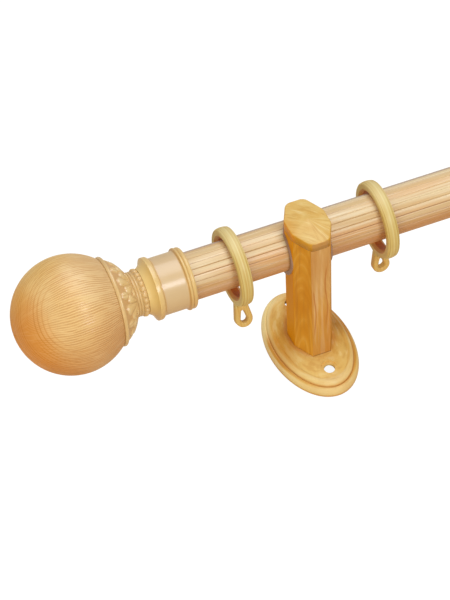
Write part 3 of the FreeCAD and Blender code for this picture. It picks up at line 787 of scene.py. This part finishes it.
def cap_outline(inset):
    """Points round the cap's long octagon, drawn inward, its corners rounded."""
    half_x, half_y = CAP_HALF
    flat_x, flat_y = CAP_FLAT
    lean = math.atan2(half_x - flat_x, half_y - flat_y)
    quarter = math.pi / 2
    facing = [0, lean, quarter, 2 * quarter - lean, 2 * quarter, 2 * quarter + lean,
              3 * quarter, 4 * quarter - lean, 4 * quarter]
    corners = [(half_x, flat_y), (flat_x, half_y), (-flat_x, half_y), (-half_x, flat_y),
               (-half_x, -flat_y), (-flat_x, -half_y), (flat_x, -half_y), (half_x, -flat_y)]
    points = []
    for (x, y), first, last in zip(corners, facing, facing[1:]):
        back = CAP_ROUND / (1 + math.cos(last - first))
        centre_x = x - back * (math.cos(first) + math.cos(last))
        centre_y = y - back * (math.sin(first) + math.sin(last))
        for i in range(CORNER_STEPS + 1):
            angle = first + (last - first) * i / CORNER_STEPS
            points.append((centre_x + (CAP_ROUND - inset) * math.cos(angle),
                           centre_y + (CAP_ROUND - inset) * math.sin(angle)))
    return points


def wall_between(work, low, high):
    """Smooth faces between two rings of as many points."""
    for i in range(len(low)):
        j = (i + 1) % len(low)
        work.faces.new((low[i], low[j], high[j], high[i])).smooth = True


def moulded_cap(name, x, material):
    """Post's end cap: rounded rim, eight shallow facets up to a peak, a spigot below."""
    levels = [(0.0, CAP_FOOT_Z)]
    for i in range(EDGE_STEPS + 1):
        angle = math.pi / 2 * i / EDGE_STEPS
        levels.append((CAP_EDGE * (1 - math.cos(angle)),
                       CAP_RIM_Z - CAP_EDGE + CAP_EDGE * math.sin(angle)))
    work = bmesh.new()
    rows = []
    for inset, z in levels:
        rows.append([work.verts.new((x + px, py, z)) for px, py in cap_outline(inset)])
    peak = work.verts.new((x, 0, CAP_HIGH.z))
    work.faces.new(rows[0][::-1])
    for row, above in zip(rows, rows[1:]):
        wall_between(work, row, above)
    rim = rows[-1]
    for i in range(len(rim)):
        work.faces.new((rim[i], rim[(i + 1) % len(rim)], peak))
    spigot = []
    for z in (CAP_LOW.z, CAP_FOOT_Z + CAP_SPIGOT_SINK):
        ring = []
        for i in range(CAP_SPIGOT_FACETS):
            angle = 2 * math.pi * i / CAP_SPIGOT_FACETS
            ring.append(work.verts.new((x + CAP_SPIGOT_R * math.cos(angle),
                                        CAP_SPIGOT_Y + CAP_SPIGOT_R * math.sin(angle), z)))
        spigot.append(ring)
    work.faces.new(spigot[0][::-1])
    work.faces.new(spigot[1])
    wall_between(work, *spigot)
    return closed_piece(name, work, material)


# ---------------------------------------------------------------- shapes that follow a rule
class Shaping:
    """Geometry node tree with named inputs, ended by realized instances and a finish."""

    def __init__(self, name, inputs):
        self.tree = bpy.data.node_groups.new(name, "GeometryNodeTree")
        face = self.tree.interface
        face.new_socket("Geometry", in_out="INPUT", socket_type="NodeSocketGeometry")
        for label, kind in inputs + (("Finish", "NodeSocketMaterial"),):
            face.new_socket(label, in_out="INPUT", socket_type=kind)
        face.new_socket("Geometry", in_out="OUTPUT", socket_type="NodeSocketGeometry")
        self.given = self.tree.nodes.new("NodeGroupInput")
        self.out = self.tree.nodes.new("NodeGroupOutput")

    def node(self, kind, **links):
        made = self.tree.nodes.new(kind)
        for socket, value in links.items():
            feed(self.tree, made.inputs[socket], value)
        return made

    def value(self, label):
        return Flow(self.tree, self.given.outputs[label])

    def split(self, kind):
        """The three parts of what an input node gives."""
        parts = self.node("ShaderNodeSeparateXYZ", Vector=self.node(kind).outputs[0])
        return [Flow(self.tree, socket) for socket in parts.outputs]

    def pushed_in(self, depth):
        """The given mesh with each point moved inward by a depth."""
        normal = self.split("GeometryNodeInputNormal")
        move = vector(self.tree, *(part * depth * -1.0 for part in normal))
        moved = self.node("GeometryNodeSetPosition", Geometry=self.given.outputs["Geometry"],
                          Offset=move)
        return moved.outputs[0]

    def finish(self, geometry):
        real = self.node("GeometryNodeRealizeInstances", Geometry=geometry)
        painted = self.node("GeometryNodeSetMaterial", Geometry=real.outputs[0],
                            Material=self.given.outputs["Finish"])
        self.tree.links.new(painted.outputs[0], self.out.inputs[0])
        return self.tree


def grained_ball_tree():
    """Sinks the pores and growth sheets into a turned ball."""
    shape = Shaping("grained_ball", (("Pore Depth", "NodeSocketFloat"),
                                     ("Sheet Depth", "NodeSocketFloat")))
    pores, sheets = ball_grain(shape.tree, *shape.split("GeometryNodeInputPosition"))
    depth = pores * shape.value("Pore Depth") + sheets * shape.value("Sheet Depth")
    return shape.finish(shape.pushed_in(depth))


def carved_cup_tree():
    """Carves palmettes and buds into the bell of a turned cup, on its outside only."""
    shape = Shaping("carved_cup", (("Relief", "NodeSocketFloat"),))
    x, y, z = shape.split("GeometryNodeInputPosition")
    height = bell_carving(x, y, z)
    radius = round_axis(y, z)[2]
    far = x.abs()
    over_neck = radius.step(NECK_R - 0.5 * MM, NECK_R - 0.3 * MM)
    over_slope = (radius - (far - BELL_START) * BELL_SLOPE).step(NECK_R - 1.2 * MM,
                                                                 NECK_R - 0.8 * MM)
    on_bell = far.step(BELL_START + 0.1 * MM, BELL_START + 0.5 * MM) \
        * far.step(BELL_END, BELL_END - 0.5 * MM) * (over_neck * over_slope)
    depth = (height * -1.0 + RELIEF_LEVEL) * shape.value("Relief") * on_bell
    return shape.finish(shape.pushed_in(depth))


def pearl_row_tree():
    """Sets a row of pearls evenly round the pole's axis."""
    shape = Shaping("pearl_row", (("Count", "NodeSocketInt"), ("Pearl Radius", "NodeSocketFloat"),
                                  ("Row Radius", "NodeSocketFloat"), ("Along", "NodeSocketFloat")))
    pearl = shape.node("GeometryNodeMeshUVSphere", Segments=PEARL_SEGMENTS, Rings=PEARL_ROUNDS,
                       Radius=shape.value("Pearl Radius"))
    smooth = shape.node("GeometryNodeSetShadeSmooth", Geometry=pearl.outputs[0])
    points = shape.node("GeometryNodePoints", Count=shape.value("Count"))
    index = Flow(shape.tree, shape.node("GeometryNodeInputIndex").outputs[0])
    angle = (index + 0.5) / shape.value("Count") * (2 * math.pi)
    seat = vector(shape.tree, shape.value("Along"),
                  angle.cos() * shape.value("Row Radius") + POLE_AXIS.y,
                  angle.sin() * shape.value("Row Radius") + POLE_AXIS.z)
    spread = shape.node("GeometryNodeSetPosition", Geometry=points.outputs[0], Position=seat)
    row = shape.node("GeometryNodeInstanceOnPoints", Points=spread.outputs[0],
                     Instance=smooth.outputs[0])
    return shape.finish(row.outputs[0])


def made_by(tree, name, blank, values):
    """Runs a tree on a blank and keeps the result as a plain mesh, in the blank's stead."""
    run = blank.modifiers.new("shape", "NODES")
    run.node_group = tree
    for item in tree.interface.items_tree:
        if item.in_out == "INPUT" and item.name in values:
            run[item.identifier] = values[item.name]
    settled = blank.evaluated_get(bpy.context.evaluated_depsgraph_get())
    mesh = bpy.data.meshes.new_from_object(settled)
    mesh.name = name
    bpy.data.objects.remove(blank)
    return placed(name, mesh)


def shown(piece, slot, *nodes):
    """Hands a finished piece of the rod over in place of its plain nodes."""
    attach(piece, ROD)
    if nodes:
        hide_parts(*nodes)


def finials():
    """Carved cup, pearl row and grained ball on both ends of the rod."""
    lacquer = cup_lacquer()
    wood = ball_wood()
    carve = carved_cup_tree()
    string = pearl_row_tree()
    grain = grained_ball_tree()
    for side, mirror in SIDES:
        blank = turned_piece("cup_blank_" + side, cup_profile(), lacquer, mirror, CUP_FACETS)
        cup = made_by(carve, "carved_cup_" + side, blank, {"Relief": RELIEF, "Finish": lacquer})
        shown(cup, "cream_moulding", "finial_cup_" + side)
        blank = placed("pearl_blank_" + side, bpy.data.meshes.new("pearl_blank_" + side))
        pearls = made_by(string, "pearl_row_" + side, blank, {
            "Count": PEARLS, "Pearl Radius": PEARL_R, "Row Radius": PEARL_ROW_R,
            "Along": mirror * (NECK_START + PEARL_R), "Finish": lacquer})
        shown(pearls, "cream_moulding")
        blank = turned_piece("ball_blank_" + side, ball_profile(), wood, mirror, BALL_FACETS)
        ball = made_by(grain, "grained_ball_" + side, blank, {
            "Pore Depth": PORE_DEPTH, "Sheet Depth": SHEET_DEPTH, "Finish": wood})
        shown(ball, "ball_wood", "finial_ball_" + side)


def caps():
    """Moulded cap on the end of each post."""
    wood = cap_wood()
    for side, mirror in SIDES:
        cap = moulded_cap("moulded_cap_" + side, -mirror * POST_X, wood)
        shown(cap, "post_wood", "post_cap_" + side)


# ---------------------------------------------------------------- floor, light, camera
FLOOR_HALF = 14.0
FLOOR_BOUNCE = (0.68, 0.58, 0.44, 1)      # the floor as the object's undersides see it
FLOOR_MATT = (0.15, 0.15, 0.15, 1)        # the part of its white that shadows take away
FLOOR_GLOW = 0.94
ROOM_TINT = (1.0, 0.94, 0.84, 1)
ROOM_STRENGTH = 0.46

CAMERA_AZIMUTH = math.radians(-20.475)
CAMERA_ELEVATION = math.radians(46.543)
CAMERA_ROLL = math.radians(-2.887)
CAMERA_DISTANCE = 1.6
CAMERA_LENS = 169.11
AIM_OUTWARD = 4.5 * MM                    # from the left post's middle towards the rod's middle
SHIFT_RIGHT = 46.99 * MM                  # from the picture's middle to the aim
SHIFT_UP = 35.087 * MM


def shader_node(tree, kind, **values):
    node = tree.nodes.new("ShaderNode" + kind)
    for socket, value in values.items():
        node.inputs[socket].default_value = value
    return node


def split_by_camera(tree, lit, seen, out):
    """Lights the object with one shader and shows the camera another."""
    path = shader_node(tree, "LightPath")
    pick = shader_node(tree, "MixShader")
    tree.links.new(path.outputs["Is Camera Ray"], pick.inputs["Fac"])
    tree.links.new(lit.outputs[0], pick.inputs[1])
    tree.links.new(seen.outputs[0], pick.inputs[2])
    tree.links.new(pick.outputs[0], out.inputs["Surface"])


def floor_finish():
    """White floor that shows a soft shadow to the camera and lights the object plainly."""
    floor = bpy.data.materials.new("floor_white")
    floor.use_nodes = True
    tree = floor.node_tree
    tree.nodes.clear()
    matt = shader_node(tree, "BsdfDiffuse", Color=FLOOR_MATT)
    glow = shader_node(tree, "Emission", Strength=FLOOR_GLOW)
    white = shader_node(tree, "AddShader")
    tree.links.new(matt.outputs[0], white.inputs[0])
    tree.links.new(glow.outputs[0], white.inputs[1])
    split_by_camera(tree, shader_node(tree, "BsdfDiffuse", Color=FLOOR_BOUNCE), white,
                    shader_node(tree, "OutputMaterial"))
    return floor


def lay_floor(z):
    half = FLOOR_HALF
    corners = [(-half, -half, z), (half, -half, z), (half, half, z), (-half, half, z)]
    mesh = bpy.data.meshes.new("floor")
    mesh.from_pydata(corners, [], [(0, 1, 2, 3)])
    mesh.materials.append(floor_finish())
    placed("floor", mesh)


def light_room():
    """Pale even room light that shows as white to the camera."""
    world = bpy.data.worlds.new("room")
    bpy.context.scene.world = world
    world.use_nodes = True
    tree = world.node_tree
    tree.nodes.clear()
    even = shader_node(tree, "Background", Color=ROOM_TINT, Strength=ROOM_STRENGTH)
    white = shader_node(tree, "Background", Color=(1, 1, 1, 1), Strength=1.0)
    split_by_camera(tree, even, white, shader_node(tree, "OutputWorld"))


def softbox(name, toward, distance, width, height, radiance, tint):
    """Area lamp aimed at the left bracket; its power follows from the radiance it shows."""
    data = bpy.data.lights.new(name, "AREA")
    data.shape = "RECTANGLE"
    data.size = width
    data.size_y = height
    data.energy = radiance * math.pi * width * height
    data.color = tint
    lamp = bpy.data.objects.new(name, data)
    direction = Vector(toward).normalized()
    lamp.location = Vector((POST_X, 0, POLE_AXIS.z / 2)) + direction * distance
    lamp.rotation_mode = "QUATERNION"
    lamp.rotation_quaternion = direction.to_track_quat("Z", "Y")
    lamp.visible_camera = False
    bpy.context.scene.collection.objects.link(lamp)


def light_bracket():
    """Broad light from above, a key from the front and a warm fill from the ball's side."""
    softbox("overhead", toward=(0.15, 0.25, 0.95), distance=1.5, width=1.0, height=1.3,
            radiance=2.45, tint=(0.97, 1.0, 1.1))
    softbox("key", toward=(0.2, -0.75, 0.63), distance=1.6, width=0.5, height=0.5,
            radiance=8.3, tint=(0.95, 1.0, 1.1))
    softbox("fill", toward=(-0.6, -0.75, 0.2), distance=1.8, width=1.8, height=1.4,
            radiance=1.4, tint=(1.0, 0.93, 0.7))


def set_camera():
    """Long lens above and in front of the left bracket."""
    azimuth, elevation, roll = CAMERA_AZIMUTH, CAMERA_ELEVATION, CAMERA_ROLL
    back = Vector((math.sin(azimuth) * math.cos(elevation),
                   -math.cos(azimuth) * math.cos(elevation), math.sin(elevation)))
    level = Vector((math.cos(azimuth), math.sin(azimuth), 0))
    upright = back.cross(level)
    right = level * math.cos(roll) + upright * math.sin(roll)
    up = upright * math.cos(roll) - level * math.sin(roll)
    aim = Vector((POST_X + AIM_OUTWARD, POLE_AXIS.y, POLE_AXIS.z))
    centre = aim - right * SHIFT_RIGHT - up * SHIFT_UP + back * CAMERA_DISTANCE
    data = bpy.data.cameras.new("camera")
    data.lens = CAMERA_LENS
    data.sensor_width = 36.0
    data.clip_start = 0.1
    data.clip_end = 50.0
    camera = bpy.data.objects.new("camera", data)
    camera.matrix_world = Matrix(((right.x, up.x, back.x, centre.x),
                                  (right.y, up.y, back.y, centre.y),
                                  (right.z, up.z, back.z, centre.z),
                                  (0, 0, 0, 1)))
    bpy.context.scene.collection.objects.link(camera)
    bpy.context.scene.camera = camera


# ---------------------------------------------------------------- the object
def paint(nodes, material):
    """Gives CAD nodes a finish."""
    for name in nodes:
        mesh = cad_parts[name].data
        mesh.materials.clear()
        mesh.materials.append(material)


def pair(name):
    return [name + "_" + side for side, _ in SIDES]


def main():
    paint(["pole_tube"], pole_film())
    paint(pair("finial_collar"), cream_moulding())
    paint(pair("wall_plate"), plate_moulding())
    paint(pair("bracket_post"), post_wood())
    paint(pair("cradle_liner"), liner_plastic())
    paint(pair("pole_plug"), plug_plastic())
    paint(pair("finial_stud") + pair("post_screw"), zinc_steel())
    paint(RINGS, ring_plastic())
    finials()
    caps()
    lay_floor(CAD_BOX[0].z)
    light_room()
    light_bracket()
    set_camera()
    bpy.context.scene.view_settings.view_transform = "Standard"


main()
